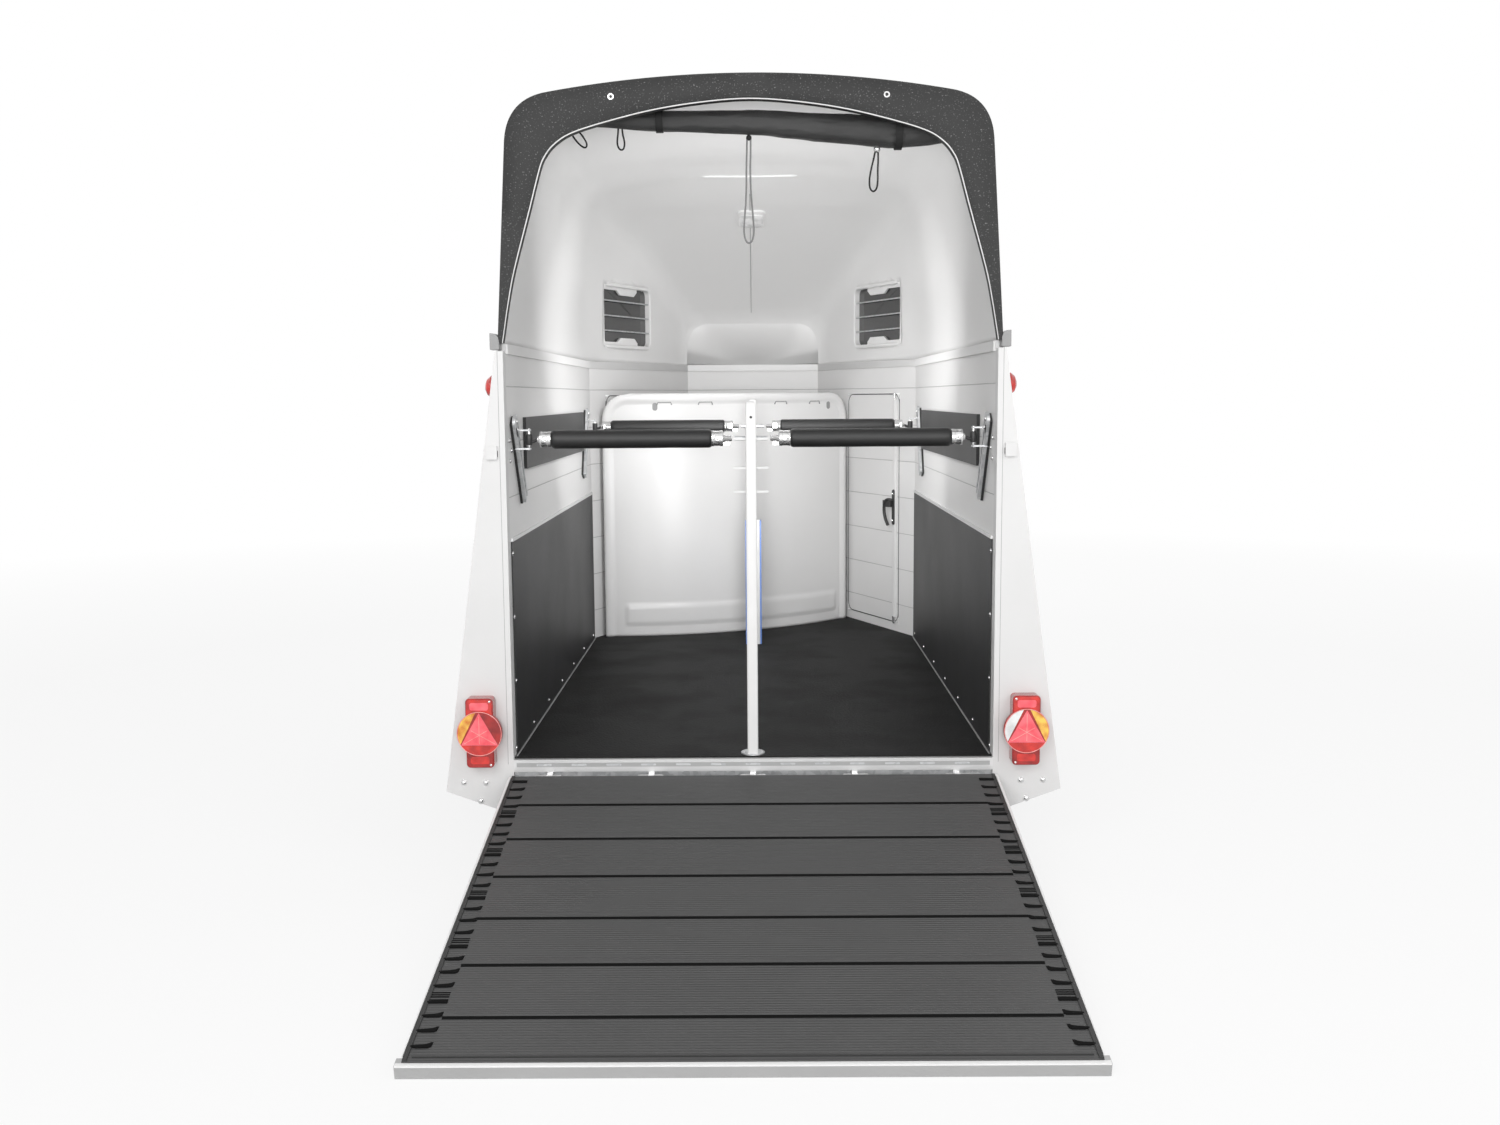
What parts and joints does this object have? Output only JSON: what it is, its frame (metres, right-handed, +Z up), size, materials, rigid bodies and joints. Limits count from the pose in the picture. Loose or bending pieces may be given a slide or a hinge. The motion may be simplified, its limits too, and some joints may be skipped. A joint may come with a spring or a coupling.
{
  "type": "horse trailer",
  "caption": "Twin-axle horse trailer with arched hood, lowered rear ramp, padded bars, side doors and overrun ball coupling, parked on its jockey wheel.",
  "frame": {"origin": "on the ground under the middle of the overall box", "axes": "+X right as seen from behind, +Y forward towards the coupling, +Z up"},
  "size_m": [2.17, 6.0742, 2.652],
  "materials": {
    "galvanised_steel": "hot-dip galvanised, spangled",
    "aluminium": "matt mill finish",
    "wall_panel": "white, satin",
    "white_moulding": "white gloss moulding",
    "dark_moulding": "flecked dark grey",
    "floor_board": "brown film-faced ply",
    "black_rubber": "matt",
    "black_plastic": "grained",
    "dark_panel": "dark satin",
    "dark_glass": "smoked",
    "red_lens": "red lens",
    "tarp": "coated dark vinyl",
    "elastic": "woven elastic cord",
    "tyre": "matt black",
    "rim": "silver",
    "foam": "closed-cell foam sleeve"
  },
  "bodies": {
    "root": {"chassis_frame": "galvanised_steel", "drawbar": "galvanised_steel", "rear_axle": "galvanised_steel", "front_axle": "galvanised_steel", "mudguards": "black_plastic", "floor_board": "floor_board", "floor_mat": "black_rubber", "right_wall": "wall_panel", "left_wall": "wall_panel", "front_wall": "wall_panel", "door_hinges": "galvanised_steel", "rear_pillars": "aluminium", "pillar_caps": "dark_moulding", "rear_sill": "aluminium", "rear_lamps": "red_lens", "marker_lamps": "red_lens", "hood": "white_moulding", "rear_frame": "dark_moulding", "window_frames": "white_moulding", "window_glass": "dark_glass", "rear_post": "galvanised_steel", "front_post": "galvanised_steel", "kick_panels": "dark_panel", "wall_pads": "dark_panel", "bar_brackets": "galvanised_steel", "tack_panel": "white_moulding", "tarp_roll": "tarp", "tarp_loop_1": "elastic", "tarp_loop_2": "elastic", "tarp_loop_3": "elastic", "tarp_loop_4": "elastic", "overrun_housing": "galvanised_steel", "overrun_bellows": "black_rubber", "ball_coupling": "galvanised_steel", "handbrake_lever": "black_plastic", "jack_tube": "galvanised_steel"},
    "ramp": {"ramp_deck": "aluminium", "ramp_mat": "black_rubber"},
    "jockey_door": {"jockey_door": "wall_panel", "jockey_door_handle": "black_plastic"},
    "tack_door": {"tack_door": "wall_panel"},
    "jack_leg": {"jack_leg": "galvanised_steel"},
    "jockey_fork": {"jockey_fork": "galvanised_steel"},
    "jockey_wheel": {"jockey_wheel": "black_rubber"},
    "left_rear_bar": {"left_rear_bar": "galvanised_steel", "left_rear_bar_pad": "foam"},
    "left_front_bar": {"left_front_bar": "galvanised_steel", "left_front_bar_pad": "foam"},
    "left_rear_wheel": {"left_rear_tyre": "tyre", "left_rear_rim": "rim"},
    "left_front_wheel": {"left_front_tyre": "tyre", "left_front_rim": "rim"},
    "right_rear_bar": {"right_rear_bar": "galvanised_steel", "right_rear_bar_pad": "foam"},
    "right_front_bar": {"right_front_bar": "galvanised_steel", "right_front_bar_pad": "foam"},
    "right_rear_wheel": {"right_rear_tyre": "tyre", "right_rear_rim": "rim"},
    "right_front_wheel": {"right_front_tyre": "tyre", "right_front_rim": "rim"}
  },
  "joints": [
    {"name": "ramp_hinge", "type": "hinge", "parent": "root", "child": "ramp", "pos_m": [0, -1.50693, 0.307], "axis": [-1, 0, 0], "range_deg": [0, 100]},
    {"name": "jockey_door_hinge", "type": "hinge", "parent": "root", "child": "jockey_door", "pos_m": [0.56389, 1.62547, 0.42], "axis": [0, 0, 1], "range_deg": [0, 110]},
    {"name": "tack_door_hinge", "type": "hinge", "parent": "root", "child": "tack_door", "pos_m": [-0.56389, 1.62547, 0.42], "axis": [0, 0, -1], "range_deg": [0, 110]},
    {"name": "left_rear_bar_swing", "type": "hinge", "parent": "root", "child": "left_rear_bar", "pos_m": [-0.77, -1.31493, 1.461], "axis": [0, 0, 1], "range_deg": [-85, 0]},
    {"name": "left_front_bar_swing", "type": "hinge", "parent": "root", "child": "left_front_bar", "pos_m": [-0.77, 0.69007, 1.461], "axis": [0, 0, -1], "range_deg": [0, 85]},
    {"name": "left_rear_wheel_spin", "type": "hinge", "parent": "root", "child": "left_rear_wheel", "pos_m": [-0.97, -0.46493, 0.3], "axis": [1, 0, 0], "continuous": true},
    {"name": "left_front_wheel_spin", "type": "hinge", "parent": "root", "child": "left_front_wheel", "pos_m": [-0.97, 0.25507, 0.3], "axis": [1, 0, 0], "continuous": true},
    {"name": "right_rear_bar_swing", "type": "hinge", "parent": "root", "child": "right_rear_bar", "pos_m": [0.77, -1.31493, 1.461], "axis": [0, 0, -1], "range_deg": [-85, 0]},
    {"name": "right_front_bar_swing", "type": "hinge", "parent": "root", "child": "right_front_bar", "pos_m": [0.77, 0.69007, 1.461], "axis": [0, 0, 1], "range_deg": [0, 85]},
    {"name": "right_rear_wheel_spin", "type": "hinge", "parent": "root", "child": "right_rear_wheel", "pos_m": [0.97, -0.46493, 0.3], "axis": [1, 0, 0], "continuous": true},
    {"name": "right_front_wheel_spin", "type": "hinge", "parent": "root", "child": "right_front_wheel", "pos_m": [0.97, 0.25507, 0.3], "axis": [1, 0, 0], "continuous": true},
    {"name": "jack_slide", "type": "slide", "parent": "root", "child": "jack_leg", "axis": [0, 0, 1], "range_m": [0, 0.11]},
    {"name": "jockey_swivel", "type": "hinge", "parent": "jack_leg", "child": "jockey_fork", "pos_m": [0.19, 2.64507, 0.2], "axis": [0, 0, 1], "continuous": true},
    {"name": "jockey_spin", "type": "hinge", "parent": "jockey_fork", "child": "jockey_wheel", "pos_m": [0.19, 2.61507, 0.1], "axis": [1, 0, 0], "continuous": true}
  ]
}
